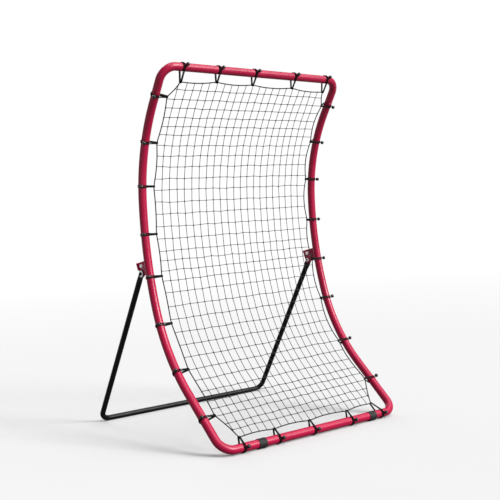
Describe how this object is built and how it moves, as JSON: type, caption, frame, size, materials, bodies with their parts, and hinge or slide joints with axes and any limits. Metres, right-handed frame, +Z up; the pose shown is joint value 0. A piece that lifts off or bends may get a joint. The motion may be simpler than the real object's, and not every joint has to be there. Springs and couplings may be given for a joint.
{
  "type": "pitching rebound net",
  "caption": "Bowed steel tube frame with a knotted net hung in it on elastic ball loops, propped by a folding rear leg frame; it throws pitched balls back.",
  "frame": {"origin": "centre of the part's box on the ground, between the bottom rail and the rear bar", "axes": "+X to the right as the thrower sees it, +Y to the back, away from the thrower, +Z up"},
  "size_m": [0.9314, 0.9153, 1.4292],
  "materials": {
    "frame_paint": "satin",
    "leg_paint": "satin",
    "zinc": "satin",
    "black_bolt": "satin",
    "spring_steel": "satin",
    "button": "polished",
    "sleeve_rubber": "matte",
    "net_twine": "matte",
    "rope": "matte",
    "elastic": "matte",
    "ball": "satin"
  },
  "bodies": {
    "frame": {"top_rail": "frame_paint", "bottom_rail": "frame_paint", "left_upper_side_tube": "frame_paint", "right_upper_side_tube": "frame_paint", "left_lower_side_tube": "frame_paint", "right_lower_side_tube": "frame_paint", "left_bracket": "frame_paint", "right_bracket": "frame_paint", "bracket_bolts": "zinc", "bracket_bolt_nuts": "zinc", "pivot_bolts": "black_bolt", "pivot_washers": "zinc", "pivot_nuts": "zinc", "left_foot_sleeve": "sleeve_rubber", "right_foot_sleeve": "sleeve_rubber", "net": "net_twine", "border_rope": "rope", "top_loops": "elastic", "bottom_loops": "elastic", "left_loops": "elastic", "right_loops": "elastic", "top_loop_balls": "ball", "bottom_loop_balls": "ball", "left_loop_balls": "ball", "right_loop_balls": "ball", "top_left_button_spring": "spring_steel", "top_right_button_spring": "spring_steel", "middle_left_button_spring": "spring_steel", "middle_right_button_spring": "spring_steel", "bottom_left_button_spring": "spring_steel", "bottom_right_button_spring": "spring_steel"},
    "leg_frame": {"left_leg": "leg_paint", "right_leg": "leg_paint", "rear_bar": "leg_paint", "rear_left_button_spring": "spring_steel", "rear_right_button_spring": "spring_steel"},
    "top_left_button": {"top_left_button": "button"},
    "top_right_button": {"top_right_button": "button"},
    "middle_left_button": {"middle_left_button": "button"},
    "middle_right_button": {"middle_right_button": "button"},
    "bottom_left_button": {"bottom_left_button": "button"},
    "bottom_right_button": {"bottom_right_button": "button"},
    "rear_left_button": {"rear_left_button": "button"},
    "rear_right_button": {"rear_right_button": "button"}
  },
  "joints": [
    {"name": "leg_fold", "type": "hinge", "parent": "frame", "child": "leg_frame", "pos_m": [0, 0.05092, 0.63919], "axis": [1, 0, 0], "range_deg": [-52, 0]},
    {"name": "top_left_button_press", "type": "slide", "parent": "frame", "child": "top_left_button", "axis": [0, -0.8387, -0.5446], "range_m": [0, 0.0045], "stiffness_N_per_m": 450, "springref_m": -0.01, "deforming": ["top_left_button_spring"]},
    {"name": "top_right_button_press", "type": "slide", "parent": "frame", "child": "top_right_button", "axis": [0, -0.8387, -0.5446], "range_m": [0, 0.0045], "stiffness_N_per_m": 450, "springref_m": -0.01, "deforming": ["top_right_button_spring"]},
    {"name": "middle_left_button_press", "type": "slide", "parent": "frame", "child": "middle_left_button", "axis": [0, -0.9936, 0.1133], "range_m": [0, 0.0045], "stiffness_N_per_m": 450, "springref_m": -0.01, "deforming": ["middle_left_button_spring"]},
    {"name": "middle_right_button_press", "type": "slide", "parent": "frame", "child": "middle_right_button", "axis": [0, -0.9936, 0.1133], "range_m": [0, 0.0045], "stiffness_N_per_m": 450, "springref_m": -0.01, "deforming": ["middle_right_button_spring"]},
    {"name": "bottom_left_button_press", "type": "slide", "parent": "frame", "child": "bottom_left_button", "axis": [0, -0.682, 0.7314], "range_m": [0, 0.0045], "stiffness_N_per_m": 450, "springref_m": -0.01, "deforming": ["bottom_left_button_spring"]},
    {"name": "bottom_right_button_press", "type": "slide", "parent": "frame", "child": "bottom_right_button", "axis": [0, -0.682, 0.7314], "range_m": [0, 0.0045], "stiffness_N_per_m": 450, "springref_m": -0.01, "deforming": ["bottom_right_button_spring"]},
    {"name": "rear_left_button_press", "type": "slide", "parent": "leg_frame", "child": "rear_left_button", "axis": [0, -1, 0], "range_m": [0, 0.0045], "stiffness_N_per_m": 450, "springref_m": -0.01, "deforming": ["rear_left_button_spring"]},
    {"name": "rear_right_button_press", "type": "slide", "parent": "leg_frame", "child": "rear_right_button", "axis": [0, -1, 0], "range_m": [0, 0.0045], "stiffness_N_per_m": 450, "springref_m": -0.01, "deforming": ["rear_right_button_spring"]}
  ]
}
